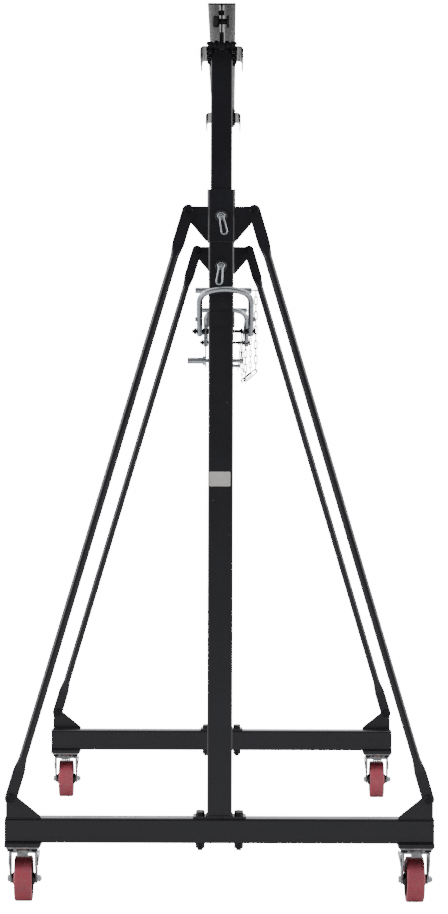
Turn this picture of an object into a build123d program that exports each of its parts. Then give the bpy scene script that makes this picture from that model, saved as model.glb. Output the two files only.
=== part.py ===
from build123d import *
import os
from math import atan2, cos, degrees, hypot, radians, sin, sqrt, tan

# Portable gantry crane: two A-frames on swivel casters, a telescoping post in each, one I-beam.
# Millimetres. X runs across the A-frames, Y runs along the beam, Z is up, and the floor is z = 0.
# One end is described in its own frame, with its outer side facing -Y. The front end stands at
# -Y as described, and the rear end is the same end turned half a turn about Z, except that the
# lock pins and the lift units of both ends face -Y.

# ---- overall layout ----
FRAME_SPACING = 2600.0        # between the two post centres, along the beam
BASE_LENGTH = 1290.0          # over the end caps of a base tube
BEAM_LENGTH = 2820.0
POST_LENGTH = 1882.0          # outer post, foot plate to mouth
HEAD_EXPOSED = 423.0          # inner post standing out of the outer post at its lowest position

# ---- square tubes ----
BASE_SIDE = 75.0
BASE_WALL = 4.5
BASE_CORNER = 7.0
OUTER_SIDE = 75.0
OUTER_WALL = 4.5
OUTER_CORNER = 7.0
TELESCOPE_GAP = 0.5           # each side, between the inner post and the bore
INNER_WALL = 4.0
INNER_CORNER = 5.5
INNER_LENGTH = 1612.0
COLLAR_WALL = 5.0
COLLAR_HEIGHT = 155.0
CAP_THICKNESS = 5.0
CAP_PLUG_DEPTH = 14.0
CAP_PLUG_GAP = 0.3

# ---- lock pins ----
PIN_DIAMETER = 16.0
PIN_PITCH = 150.0             # between the two pins, and between the holes of the inner post
TOP_PIN_DROP = 81.0           # top pin below the post's mouth
PINS_PER_POST = 2
LIFT_STEPS = 6                # hole pitches that the head can rise
POST_HOLE_GAP = 0.5           # radial, pin in the posts
BUSH_HOLE_GAP = 0.3
BUSH_DIAMETER = 34.0
BUSH_STAND = 8.0              # bush beyond the collar's face
PIN_TIP = 9.0                 # pin beyond the collar's back face
PIN_HEAD_DIAMETER = 23.0
PIN_HEAD_THICKNESS = 5.0
PIN_HEAD_GAP = 0.2
TANG_THICKNESS = 4.8
TANG_HEIGHT = 12.0
TANG_LENGTH = 13.0
LOOP_WIRE = 4.6
LOOP_HOLE_GAP = 0.1
LOOP_TOP_WIDTH = 10.8         # centre to centre of the wire
LOOP_BOTTOM_WIDTH = 19.0
LOOP_DROP = 55.0
LOOP_LEANS = (-11.0, 6.5)     # turn of a post's upper and lower pin about Y, degrees

# ---- gussets and braces ----
GUSSET_THICKNESS = 6.0
COLLAR_GUSSET_TOP_DROP = 51.0     # gusset's top edge below the post's mouth
COLLAR_GUSSET_HEIGHT = 104.0
COLLAR_GUSSET_REACH = 67.5        # from the collar's side
COLLAR_GUSSET_LIP = 28.0          # upright outer edge
COLLAR_GUSSET_TOE = 3.5
BRACE_TOP_OUT = 99.0              # upper pivot from the post's centre
BRACE_TOP_DROP = 64.0             # upper pivot below the post's mouth
BRACE_FOOT_IN = 19.0              # lower pivot in from the base tube's end
BRACE_FOOT_RISE = 60.0            # lower pivot above the base tube
BASE_GUSSET_WIDTH = 105.0
BASE_GUSSET_INSET = 4.0           # from the base tube's end
BASE_GUSSET_LIP = 33.0            # level top edge
BASE_GUSSET_TOE = 6.0
BASE_GUSSET_COVER = 4.0           # gusset above the lower pivot
BRACE_DIAMETER = 25.4
BRACE_WALL = 2.0
BRACE_FLAT_WIDTH = 37.0
BRACE_FLAT_THICKNESS = 6.0
BRACE_TOP_FLAT = 103.0            # flat length beyond the upper pivot
BRACE_FOOT_FLAT = 84.0
BRACE_TAPER = 42.0

# ---- fasteners: diameter, across flats, head height, nut height ----
M16 = (16.0, 24.0, 10.0, 13.0)
M12 = (12.0, 18.0, 7.5, 10.0)
M10 = (10.0, 17.0, 6.4, 8.0)
M8 = (8.0, 13.0, 5.3, 6.5)
BOLT_HOLE_GAP = 0.5
BOLT_TAIL = 6.0               # thread beyond a nut
WASHER_THICKNESS = 2.5
WASHER_MARGIN = 1.5           # washer beyond the flats
HEAD_BEVEL = 0.09             # share of the flats taken off a head's corners

# ---- post foot ----
FOOT_REACH = 42.5             # foot plate beyond the post's side
FOOT_THICKNESS = 6.0
FOOT_BOLT_OUT = 20.5          # bolt beyond the post's side
FOOT_BOLT_Y = 20.0

# ---- casters ----
WHEEL_DIAMETER = 138.0
WHEEL_WIDTH = 54.0
CASTER_HEIGHT = 174.0
CASTER_TRAIL = 38.0
CASTER_INSET = 54.0           # swivel axis in from the base tube's end
CASTER_YAWS = (0.0, 2.0, 0.0, 0.0)
PAD_SIDE = 109.0
PAD_THICKNESS = 11.0
TOP_PLATE_SIDE = 101.0
TOP_PLATE_THICKNESS = 5.0
CASTER_BOLT_SPAN = 74.0
RACE_DIAMETER = 60.0
RACE_HEIGHT = 4.2
RACE_GAP = 0.3
LOWER_RACE_HEIGHT = 4.5
KINGPIN_DIAMETER = 12.0
KINGPIN_HEAD = 20.0
KINGPIN_HEAD_HEIGHT = 4.0
RUNNING_GAP = 0.1             # radial, shafts and pins that turn in a hole
FORK_GAP = 73.0               # between the legs
FORK_PLATE = 5.0
CROWN_THICKNESS = 6.0
CROWN_FRONT = 32.0
CROWN_BACK = 48.0
LEG_TIP_RADIUS = 15.0
TOOTH_COUNT = 5
TOOTH_WIDTH = 7.0
TOOTH_DEPTH = 6.0
TOOTH_STRIP_HEIGHT = 6.0
TOOTH_STRIP_THICKNESS = 3.0
TREAD_THICKNESS = 11.0
TREAD_ROUND = 6.0
CORE_RIM = 7.0
CORE_WEB = 20.0
HUB_DIAMETER = 42.0
HUB_END_GAP = 1.0
CORE_RIM_INSET = 2.0
AXLE_DIAMETER = 12.0
PEDAL_PIVOT_Y = 20.0
PEDAL_PIVOT_Z = 124.0
PEDAL_ARM_THICKNESS = 3.0
PEDAL_ARM_HEIGHT = 16.0
PEDAL_ARM_GAP = 0.6
PEDAL_EYE_RADIUS = 13.0
PEDAL_REACH = 88.0            # pivot to the end of the tread plate
PEDAL_RISE = 20.0
PEDAL_PLATE_LENGTH = 32.0
PEDAL_PLATE_THICKNESS = 4.0
PEDAL_PIN_DIAMETER = 8.0

# ---- head: saddles, beam and what is on it ----
SADDLE_WIDTH = 130.0
SADDLE_HEIGHT = 35.0
SADDLE_THICKNESS = 4.0
SADDLE_CORNER = 12.0
SADDLE_OUTBOARD = 70.0
SADDLE_INBOARD = 350.0
BEAM_WIDTH = 84.0
BEAM_DEPTH = 124.0
BEAM_FLANGE = 5.5
BEAM_WEB = 5.0
BEAM_FILLET = 6.0
CLAMP_BOLT_X = 36.0
CLAMP_BOLT_FIRST = 50.0       # first row outboard of the post's centre
CLAMP_BOLT_PITCH = 125.0
CLAMP_BOLT_ROWS = 4
CLIP_LENGTH = 46.0
CLIP_WIDTH = 22.0
CLIP_HEIGHT = 35.0
CLIP_THICKNESS = 4.0
CLIP_BOLT_X = 17.0
STOP_SETBACK = 26.0           # end stop in from the beam's end
STOP_HEIGHT = 71.0            # above the beam's underside
KNOB_DIAMETER = 34.0
KNOB_LENGTH = 21.0
KNOB_STAND = 4.5              # knob from the web
KNOB_ROUND = 6.0
DISC_DIAMETER = 36.0
DISC_THICKNESS = 8.0
DISC_STAND = 12.0
DISC_ROUND = 2.0
STOP_SPACER_DIAMETER = 17.0
SMALL_BOLT_HEIGHT = 97.0      # small bolt above the end stop, from the beam's underside

# ---- lift unit behind each outer post; distances out and back are from the post's faces ----
LIFT_PIVOT_DROP = 424.0       # pivot below the post's mouth
REAR_UNIT_RISE = 8.0
LIFT_AXIS_BACK = 17.5
BAND_WALL = 4.0
BAND_BOTTOM = 12.0            # above the pivot
BAND_HEIGHT = 45.0
SPINE_WIDTH = 60.0
SPINE_THICKNESS = 6.0
SPINE_MARGIN = 18.0           # spine beyond the outer cross shafts
LUG_THICKNESS = 6.0
LUG_RADIUS = 14.0
CRANK_DROP = 89.0
TOP_TUBE_RISE = 124.0
TOP_TUBE_DIAMETER = 18.0
TOP_TUBE_BORE = 12.0
TOP_TUBE_BACK = 32.5
TOP_TUBE_LEFT_OUT = 41.5
TOP_TUBE_RIGHT_OUT = 55.5
PLATE_THICKNESS = 4.0
PLATE_WIDTH = 42.0
PLATE_TOP = 32.0              # above the pivot
LEFT_PLATE_OUT = 8.5
RIGHT_PLATE_OUT = 31.0
RIGHT_PLATE_FOOT_OUT = 22.0
BAIL_DIAMETER = 18.0
BAIL_LEFT_OUT = 27.0
BAIL_RIGHT_OUT = 52.5
BAIL_RISE = 124.0             # crown's centre line above the pivot, as the bail leans
BAIL_CROWN_SLOPE = 33.0       # where the crown's arc runs out, degrees
BAIL_SHOULDER_RADIUS = 46.0
BAIL_CROWN_RADIUS = 125.0
BAIL_TAIL = 14.0
LEAN_PASSES = 8               # turns of the loop that finds the lean
BAIL_POST_GAP = 0.5
BAIL_SCREW_REACH = 47.0       # screw through each leg, along the leg from the pivot
SPACER_DIAMETER = 17.6
SIDE_GAP = 0.3                # between pieces that turn and their neighbours
CRANK_DIAMETER = 12.0
CRANK_COLLAR_DIAMETER = 28.0
CRANK_COLLAR_LENGTH = 7.0
CRANK_END_DIAMETER = 20.0
CRANK_END_LENGTH = 6.0
SOCKET_DIAMETER = 19.0
SOCKET_LENGTH = 46.0
STUD_DIAMETER = 4.4

# ---- chain ----
LINK_WIRE = 3.2
LINK_LENGTH = 29.0
LINK_WIDTH = 11.4
LINK_SLACK = 0.4
LONG_STRAND_OUT = 15.5        # strand beyond the centre of the bail's right leg
LONG_STRAND_LINKS = 11
SHORT_STRAND_OUT = 6.0        # strand beyond the centre of the right side plate
SHORT_STRAND_LINKS = 5
SHORT_STRAND_DROP = 36.0      # upper end below the pivot
SNAP_WIRE = 4.0
SNAP_WIDTH = 14.0

# ---- derived heights and places ----
PAD_BOTTOM = CASTER_HEIGHT
BASE_BOTTOM = PAD_BOTTOM + PAD_THICKNESS
BASE_TOP = BASE_BOTTOM + BASE_SIDE
POST_BOTTOM = BASE_TOP + FOOT_THICKNESS
POST_TOP = POST_BOTTOM + POST_LENGTH
POST_HALF = OUTER_SIDE / 2
FOOT_LENGTH = OUTER_SIDE + 2 * FOOT_REACH
FOOT_BOLT_X = POST_HALF + FOOT_BOLT_OUT
LIFT_PIVOT_Z = POST_TOP - LIFT_PIVOT_DROP
LIFT_AXIS_Y = POST_HALF + LIFT_AXIS_BACK
TOP_TUBE_Y = POST_HALF + TOP_TUBE_BACK
TOP_TUBE_LEFT = -POST_HALF - TOP_TUBE_LEFT_OUT
TOP_TUBE_RIGHT = POST_HALF + TOP_TUBE_RIGHT_OUT
LEFT_PLATE_X = -POST_HALF - LEFT_PLATE_OUT
RIGHT_PLATE_X = POST_HALF + RIGHT_PLATE_OUT
RIGHT_PLATE_FOOT_X = POST_HALF + RIGHT_PLATE_FOOT_OUT
BAIL_LEFT_X = -POST_HALF - BAIL_LEFT_OUT
BAIL_RIGHT_X = POST_HALF + BAIL_RIGHT_OUT
CHAIN_Y = TOP_TUBE_Y
LONG_STRAND_X = BAIL_RIGHT_X + LONG_STRAND_OUT
SHORT_STRAND_X = RIGHT_PLATE_X + SHORT_STRAND_OUT
INNER_SIDE = OUTER_SIDE - 2 * OUTER_WALL - 2 * TELESCOPE_GAP
SADDLE_UNDERSIDE = POST_TOP + HEAD_EXPOSED
BEAM_BOTTOM = SADDLE_UNDERSIDE + SADDLE_THICKNESS
INNER_BOTTOM = SADDLE_UNDERSIDE - INNER_LENGTH
COLLAR_SIDE = OUTER_SIDE + 2 * COLLAR_WALL
TOP_PIN_Z = POST_TOP - TOP_PIN_DROP
BUSH_FACE = COLLAR_SIDE / 2 + BUSH_STAND
BRACE_PLANE = POST_HALF           # front faces of the gussets, from the frame's centre plane
BRACE_FOOT = (BASE_LENGTH / 2 - BRACE_FOOT_IN, BASE_TOP + BRACE_FOOT_RISE)
BRACE_HEAD = (BRACE_TOP_OUT, POST_TOP - BRACE_TOP_DROP)
CASTER_X = BASE_LENGTH / 2 - CASTER_INSET
END_Y = FRAME_SPACING / 2
BAIL_LEAN_RUN = LIFT_AXIS_Y + OUTER_SIDE / 2 + BAIL_POST_GAP + BAIL_DIAMETER / 2
RIGHT_PLATE_TILT = degrees(atan2(RIGHT_PLATE_X - RIGHT_PLATE_FOOT_X, CRANK_DROP))
FRONT_END = Pos(0, -END_Y, 0)
REAR_END = Pos(0, END_Y, 0) * Rot(0, 0, 180)
REAR_SAME_WAY = Pos(0, END_Y, 0)      # rear end without the half turn
UNIT_PLACES = (Pos(0, -END_Y, LIFT_PIVOT_Z), Pos(0, END_Y, LIFT_PIVOT_Z + REAR_UNIT_RISE))
LOW = Align.MIN
MID = Align.CENTER


# ---- basic solids ----
def bar_x(diameter, start, stop):
    """Round bar along X between two stations."""
    return Pos(start, 0, 0) * Rot(0, 90, 0) * Cylinder(diameter / 2, stop - start, align=(MID, MID, LOW))


def bar_y(diameter, start, stop):
    """Round bar along Y between two stations."""
    return Pos(0, start, 0) * Rot(-90, 0, 0) * Cylinder(diameter / 2, stop - start, align=(MID, MID, LOW))


def rod(diameter, bottom, top):
    """Round bar along Z between two heights."""
    return Pos(0, 0, bottom) * Cylinder(diameter / 2, top - bottom, align=(MID, MID, LOW))


def block(x_span, y_span, z_span):
    """Box between three pairs of stations."""
    size = [high - low for low, high in (x_span, y_span, z_span)]
    return Pos(x_span[0], y_span[0], z_span[0]) * Box(*size, align=(LOW, LOW, LOW))


def plate_xz(points, front, thickness):
    """Flat plate from an outline in X and Z, its front face at y = front."""
    outline = make_face(Polyline(*points, close=True))
    return Pos(0, front, 0) * Rot(90, 0, 0) * extrude(outline, amount=-thickness)


def bent_wire(path, diameter):
    """Round wire or bar that follows a path."""
    return sweep(Plane(origin=path @ 0, z_dir=path % 0) * Circle(diameter / 2), path=path)


def square_tube(side, wall, corner, length):
    """Square tube standing on z = 0."""
    bore = side - 2 * wall
    section = RectangleRounded(side, side, corner) - RectangleRounded(bore, bore, corner - wall)
    return extrude(section, amount=length)


def washer(bolt, bottom):
    """Flat washer for a bolt, its underside at a height."""
    size, flats = bolt[0], bolt[1]
    blank = rod(flats + 2 * WASHER_MARGIN, bottom, bottom + WASHER_THICKNESS)
    return blank - rod(size + 2 * BOLT_HOLE_GAP, bottom - 1, bottom + WASHER_THICKNESS + 1)


def hexagon(flats, height):
    """Hexagonal prism on z = 0 with its upper corners turned off."""
    barrel = Cylinder(flats / sqrt(3), height, align=(MID, MID, LOW))
    barrel = chamfer(barrel.edges().sort_by(Axis.Z)[-1], flats * HEAD_BEVEL)
    return extrude(RegularPolygon(flats / 2, 6, major_radius=False), amount=height) & barrel


def bolt_down(bolt, length):
    """Hex bolt with its head standing on z = 0 and its shank hanging below."""
    size, flats, head, _ = bolt
    return hexagon(flats, head) + rod(size, -length, 0)


def nut_below(bolt, top):
    """Hex nut with its upper face at a height, bored for the bolt's shank."""
    size, flats, _, height = bolt
    return Pos(0, 0, top) * Rot(180, 0, 0) * (hexagon(flats, height) - rod(size, -1, height + 1))


def bolt_set(bolt, grip):
    """Bolt, two washers and a nut that clamp a stack from z = -grip to z = 0."""
    nut_top = -grip - WASHER_THICKNESS
    length = grip + 2 * WASHER_THICKNESS + bolt[3] + BOLT_TAIL
    screw = Pos(0, 0, WASHER_THICKNESS) * bolt_down(bolt, length)
    return [screw, washer(bolt, 0), washer(bolt, nut_top), nut_below(bolt, nut_top)]


def placed(location, shapes):
    """Copies of some solids moved by one location."""
    return [location * shape for shape in shapes]


def at_both_ends(shapes):
    """The same solids at the front end and at the rear end."""
    return placed(FRONT_END, shapes) + placed(REAR_END, shapes)


def on_both_sides(shapes):
    """Solids drawn on the +X side, and their mirror images on the -X side."""
    return list(shapes) + [mirror(shape, about=Plane.YZ) for shape in shapes]


# ---- base and posts ----
def base_tube():
    length = BASE_LENGTH - 2 * CAP_THICKNESS
    tube = Rot(0, 90, 0) * Pos(0, 0, -length / 2) * square_tube(BASE_SIDE, BASE_WALL, BASE_CORNER, length)
    tube = Pos(0, 0, BASE_BOTTOM + BASE_SIDE / 2) * tube
    for x, y in foot_bolt_places():
        tube -= Pos(x, y, 0) * rod(M16[0] + 2 * BOLT_HOLE_GAP, BASE_BOTTOM - 1, BASE_TOP + 1)
    return tube


def tube_end_cap():
    """Moulded plug that closes the +X end of a base tube."""
    bore = BASE_SIDE - 2 * BASE_WALL - 2 * CAP_PLUG_GAP
    flange = extrude(RectangleRounded(BASE_SIDE, BASE_SIDE, BASE_CORNER), amount=CAP_THICKNESS)
    flange = chamfer(flange.edges().group_by(Axis.Z)[-1], CAP_THICKNESS / 3)
    plug = extrude(RectangleRounded(bore, bore, BASE_CORNER - BASE_WALL), amount=-CAP_PLUG_DEPTH)
    cap = Rot(0, 90, 0) * (flange + plug)
    return Pos(BASE_LENGTH / 2 - CAP_THICKNESS, 0, BASE_BOTTOM + BASE_SIDE / 2) * cap


def foot_bolt_places():
    return [(x, y) for x in (-FOOT_BOLT_X, FOOT_BOLT_X) for y in (-FOOT_BOLT_Y, FOOT_BOLT_Y)]


def post_foot():
    plate = Pos(0, 0, BASE_TOP) * extrude(RectangleRounded(FOOT_LENGTH, BASE_SIDE, 4), amount=FOOT_THICKNESS)
    for x, y in foot_bolt_places():
        plate -= Pos(x, y, 0) * rod(M16[0] + 2 * BOLT_HOLE_GAP, BASE_TOP - 1, POST_BOTTOM + 1)
    return plate


def foot_bolts():
    sets = []
    for x, y in foot_bolt_places():
        sets += placed(Pos(x, y, POST_BOTTOM), bolt_set(M16, FOOT_THICKNESS + BASE_SIDE))
    return sets


def pin_heights():
    return [TOP_PIN_Z - index * PIN_PITCH for index in range(PINS_PER_POST)]


def outer_post():
    tube = Pos(0, 0, POST_BOTTOM) * square_tube(OUTER_SIDE, OUTER_WALL, OUTER_CORNER, POST_LENGTH)
    for height in pin_heights():
        tube -= Pos(0, 0, height) * bar_y(PIN_DIAMETER + 2 * POST_HOLE_GAP, -OUTER_SIDE, OUTER_SIDE)
    return tube


def collar():
    section = RectangleRounded(COLLAR_SIDE, COLLAR_SIDE, OUTER_CORNER + COLLAR_WALL)
    section -= RectangleRounded(OUTER_SIDE, OUTER_SIDE, OUTER_CORNER)
    sleeve = Pos(0, 0, POST_TOP - COLLAR_HEIGHT) * extrude(section, amount=COLLAR_HEIGHT)
    hole = bar_y(PIN_DIAMETER + 2 * POST_HOLE_GAP, -COLLAR_SIDE, COLLAR_SIDE)
    return sleeve - Pos(0, 0, TOP_PIN_Z) * hole


def pin_bushes():
    """Welded bosses that guide the pins: one on the collar's face, the others on the post's face."""
    bushes = []
    for height in pin_heights():
        on_collar = height > POST_TOP - COLLAR_HEIGHT
        face = COLLAR_SIDE / 2 if on_collar else OUTER_SIDE / 2
        ring = bar_y(BUSH_DIAMETER, -BUSH_FACE, -face)
        ring = chamfer(ring.edges().sort_by(Axis.Y)[0], 2)
        ring -= bar_y(PIN_DIAMETER + 2 * BUSH_HOLE_GAP, -BUSH_FACE - 1, -face + 1)
        bushes.append(Pos(0, 0, height) * ring)
    return bushes


def inner_post():
    tube = Pos(0, 0, INNER_BOTTOM) * square_tube(INNER_SIDE, INNER_WALL, INNER_CORNER, INNER_LENGTH)
    for index in range(PINS_PER_POST + LIFT_STEPS):
        hole = bar_y(PIN_DIAMETER + 2 * POST_HOLE_GAP, -INNER_SIDE, INNER_SIDE)
        tube -= Pos(0, 0, TOP_PIN_Z - index * PIN_PITCH) * hole
    return tube


# ---- gussets and braces ----
def collar_gusset():
    top = POST_TOP - COLLAR_GUSSET_TOP_DROP
    bottom = top - COLLAR_GUSSET_HEIGHT
    side = COLLAR_SIDE / 2
    outline = [
        (side, bottom),
        (side + COLLAR_GUSSET_TOE, bottom),
        (side + COLLAR_GUSSET_REACH, top - COLLAR_GUSSET_LIP),
        (side + COLLAR_GUSSET_REACH, top),
        (side, top),
    ]
    plate = plate_xz(outline, -BRACE_PLANE, GUSSET_THICKNESS)
    return plate - brace_hole(BRACE_HEAD)


def base_gusset():
    outer = BASE_LENGTH / 2 - BASE_GUSSET_INSET
    top = BRACE_FOOT[1] + BASE_GUSSET_COVER
    outline = [
        (outer, BASE_TOP),
        (outer - BASE_GUSSET_WIDTH, BASE_TOP),
        (outer - BASE_GUSSET_WIDTH, BASE_TOP + BASE_GUSSET_TOE),
        (outer - BASE_GUSSET_LIP, top),
        (outer, top),
    ]
    plate = plate_xz(outline, -BRACE_PLANE, GUSSET_THICKNESS)
    return plate - brace_hole(BRACE_FOOT)


def brace_hole(pivot):
    return Pos(pivot[0], 0, pivot[1]) * bar_y(M16[0] + 2 * BOLT_HOLE_GAP, -2 * BRACE_PLANE, 0)


def brace_end(flat):
    """Flattened end with its pivot at the origin, running up Z to the round tube."""
    tip = BRACE_FLAT_WIDTH / 2
    outline = Pos(0, flat / 2) * Rectangle(BRACE_FLAT_WIDTH, flat) + Circle(tip)
    flat_plate = Rot(90, 0, 0) * extrude(outline, amount=BRACE_FLAT_THICKNESS / 2, both=True)
    wide = Pos(0, 0, flat) * Rectangle(BRACE_FLAT_WIDTH, BRACE_FLAT_THICKNESS)
    round_section = Pos(0, 0, flat + BRACE_TAPER) * Circle(BRACE_DIAMETER / 2)
    return flat_plate + loft([wide, round_section])


def brace():
    """Tube with flattened ends on the +X side, from the lower pivot to the upper one."""
    run = BRACE_HEAD[0] - BRACE_FOOT[0]
    rise = BRACE_HEAD[1] - BRACE_FOOT[1]
    length = hypot(run, rise)
    start = BRACE_FOOT_FLAT + BRACE_TAPER
    stop = length - BRACE_TOP_FLAT - BRACE_TAPER
    body = brace_end(BRACE_FOOT_FLAT) + rod(BRACE_DIAMETER, start, stop)
    body += Pos(0, 0, length) * Rot(180, 0, 0) * brace_end(BRACE_TOP_FLAT)
    body -= rod(BRACE_DIAMETER - 2 * BRACE_WALL, start, stop)
    tilt = degrees(atan2(run, rise))
    middle = -BRACE_PLANE - BRACE_FLAT_THICKNESS / 2
    body = Pos(BRACE_FOOT[0], middle, BRACE_FOOT[1]) * Rot(0, tilt, 0) * body
    return body - brace_hole(BRACE_FOOT) - brace_hole(BRACE_HEAD)


def brace_bolts():
    """Bolts that hold a brace's two ends to its gussets, heads outwards."""
    sets = []
    grip = BRACE_FLAT_THICKNESS + GUSSET_THICKNESS
    for x, z in (BRACE_FOOT, BRACE_HEAD):
        front = Pos(x, -BRACE_PLANE - BRACE_FLAT_THICKNESS, z) * Rot(90, 0, 0)
        sets += placed(front, bolt_set(M16, grip))
    return sets


# ---- lock pins ----
def lock_pin():
    """Pin along Y with its axis at z = 0, and a flat tang for the loop outside the bush."""
    head_back = -BUSH_FACE - PIN_HEAD_GAP
    head_front = head_back - PIN_HEAD_THICKNESS
    pin = bar_y(PIN_DIAMETER, head_back, COLLAR_SIDE / 2 + PIN_TIP)
    pin = chamfer(pin.edges().sort_by(Axis.Y)[-1], 2.5)
    head = bar_y(PIN_HEAD_DIAMETER, head_front, head_back)
    head = chamfer(head.edges().sort_by(Axis.Y)[0], 1)
    half = TANG_THICKNESS / 2
    tang = block((-half, half), (head_front - TANG_LENGTH, head_front), (-TANG_HEIGHT / 2, TANG_HEIGHT / 2))
    front_edges = tang.edges().filter_by(Axis.X).sort_by(Axis.Y)[:2]
    tang = fillet(front_edges, TANG_HEIGHT * 0.45)
    eye = Pos(0, loop_plane(), 0) * bar_x(LOOP_WIRE + 2 * LOOP_HOLE_GAP, -TANG_THICKNESS, TANG_THICKNESS)
    return pin + head + tang - eye


def loop_plane():
    """How far in front of the frame's centre plane a loop hangs."""
    return -BUSH_FACE - PIN_HEAD_GAP - PIN_HEAD_THICKNESS - TANG_LENGTH + TANG_HEIGHT / 2


def pin_loop():
    """Closed wire loop that hangs from its hinge at the origin."""
    top = LOOP_TOP_WIDTH / 2
    bottom = LOOP_BOTTOM_WIDTH / 2
    bend = LOOP_WIRE * 0.62
    low_bend = LOOP_BOTTOM_WIDTH * 0.42
    path = Plane.XZ * FilletPolyline(
        (-top, 0), (top, 0), (bottom, -LOOP_DROP), (-bottom, -LOOP_DROP),
        radius=[bend, bend, low_bend, low_bend], close=True,
    )
    return bent_wire(path, LOOP_WIRE)


# ---- casters, each with its swivel axis on Z and the wheel trailing towards +Y ----
def caster_bolt_places():
    half = CASTER_BOLT_SPAN / 2
    return [(x, y) for x in (-half, half) for y in (-half, half)]


def caster_plate(side, bottom, thickness):
    """Square plate with the four caster bolt holes."""
    plate = Pos(0, 0, bottom) * extrude(RectangleRounded(side, side, 6), amount=thickness)
    for x, y in caster_bolt_places():
        plate -= Pos(x, y, 0) * rod(M10[0] + 2 * BOLT_HOLE_GAP, bottom - 1, bottom + thickness + 1)
    return plate


def caster_bolts():
    """Screws driven up through the top plate and the pad."""
    length = TOP_PLATE_THICKNESS + PAD_THICKNESS
    under = CASTER_HEIGHT - TOP_PLATE_THICKNESS
    screw = washer(M10, 0) + Pos(0, 0, WASHER_THICKNESS) * bolt_down(M10, WASHER_THICKNESS)
    screw = Rot(180, 0, 0) * screw
    screw += rod(M10[0], 0, length)
    return [Pos(x, y, under) * screw for x, y in caster_bolt_places()]


def swivel_race():
    """Upper raceway and the kingpin riveted through it, with a bead of grease cover round the edge."""
    top = CASTER_HEIGHT - TOP_PLATE_THICKNESS
    bottom = top - RACE_HEIGHT
    ring = rod(RACE_DIAMETER, bottom, top)
    ring = chamfer(ring.edges().sort_by(Axis.Z)[0], RACE_HEIGHT / 3)
    crown_bottom = crown_top() - CROWN_THICKNESS
    stem = rod(KINGPIN_DIAMETER, crown_bottom - RACE_GAP, bottom)
    head = rod(KINGPIN_HEAD, crown_bottom - RACE_GAP - KINGPIN_HEAD_HEIGHT, crown_bottom - RACE_GAP)
    return ring + stem + head


def crown_top():
    return CASTER_HEIGHT - TOP_PLATE_THICKNESS - RACE_HEIGHT - RACE_GAP - LOWER_RACE_HEIGHT


def fork_leg():
    """Leg on the +X side, from the crown to round the axle."""
    top = crown_top()
    axle_z = WHEEL_DIAMETER / 2
    outline = make_face(Polyline(
        (-CROWN_FRONT, top), (CROWN_BACK, top), (CROWN_BACK + 4, top - 30),
        (CASTER_TRAIL + LEG_TIP_RADIUS, axle_z), (CASTER_TRAIL - LEG_TIP_RADIUS, axle_z),
        (-CROWN_FRONT + 2, top - 38), close=True,
    ))
    outline += Pos(CASTER_TRAIL, axle_z) * Circle(LEG_TIP_RADIUS)
    leg = Pos(FORK_GAP / 2, 0, 0) * extrude(Plane.YZ * outline, amount=FORK_PLATE)
    leg -= Pos(0, CASTER_TRAIL, axle_z) * bar_x(AXLE_DIAMETER + 2 * RUNNING_GAP, 0, FORK_GAP)
    pivot = Pos(0, PEDAL_PIVOT_Y, PEDAL_PIVOT_Z) * bar_x(PEDAL_PIN_DIAMETER + 2 * RUNNING_GAP, 0, FORK_GAP)
    return leg - pivot


def tooth_strip():
    """Serrated strip under the front of the crown that locks the swivel."""
    top = crown_top() - CROWN_THICKNESS
    half = TOOTH_COUNT * TOOTH_WIDTH / 2
    points = [(-half, top), (-half, top - TOOTH_STRIP_HEIGHT)]
    for index in range(TOOTH_COUNT):
        left = -half + index * TOOTH_WIDTH
        points.append((left + TOOTH_WIDTH / 2, top - TOOTH_STRIP_HEIGHT - TOOTH_DEPTH))
        points.append((left + TOOTH_WIDTH, top - TOOTH_STRIP_HEIGHT))
    points.append((half, top))
    return plate_xz(points, -CROWN_FRONT + 2, TOOTH_STRIP_THICKNESS)


def caster_fork():
    top = crown_top()
    width = FORK_GAP + 2 * FORK_PLATE
    crown = block((-width / 2, width / 2), (-CROWN_FRONT, CROWN_BACK), (top - CROWN_THICKNESS, top))
    crown = fillet(crown.edges().filter_by(Axis.Y).group_by(Axis.Z)[-1], CROWN_THICKNESS * 0.8)
    race = rod(RACE_DIAMETER, top, top + LOWER_RACE_HEIGHT)
    race = chamfer(race.edges().sort_by(Axis.Z)[-1], LOWER_RACE_HEIGHT / 3)
    legs = on_both_sides([fork_leg()])
    bore = rod(KINGPIN_DIAMETER + 2 * RUNNING_GAP, top - CROWN_THICKNESS - 1, top + LOWER_RACE_HEIGHT + 1)
    return crown + race + legs[0] + legs[1] + tooth_strip() - bore


def caster_axle():
    """Hex bolt and nut across the fork."""
    half = FORK_GAP / 2 + FORK_PLATE
    bolt = Pos(-half, 0, 0) * Rot(0, -90, 0) * bolt_down(M12, 2 * half + M12[3] + BOLT_TAIL / 2)
    nut = Pos(half, 0, 0) * Rot(0, -90, 0) * nut_below(M12, 0)
    return placed(Pos(0, CASTER_TRAIL, WHEEL_DIAMETER / 2), [bolt, nut])


def wheel_tread():
    """Moulded tyre with rounded shoulders."""
    half = WHEEL_WIDTH / 2
    tyre = bar_x(WHEEL_DIAMETER, -half, half)
    tyre = fillet(tyre.edges(), TREAD_ROUND)
    tyre -= bar_x(WHEEL_DIAMETER - 2 * TREAD_THICKNESS, -half - 1, half + 1)
    return Pos(0, CASTER_TRAIL, WHEEL_DIAMETER / 2) * tyre


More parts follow.
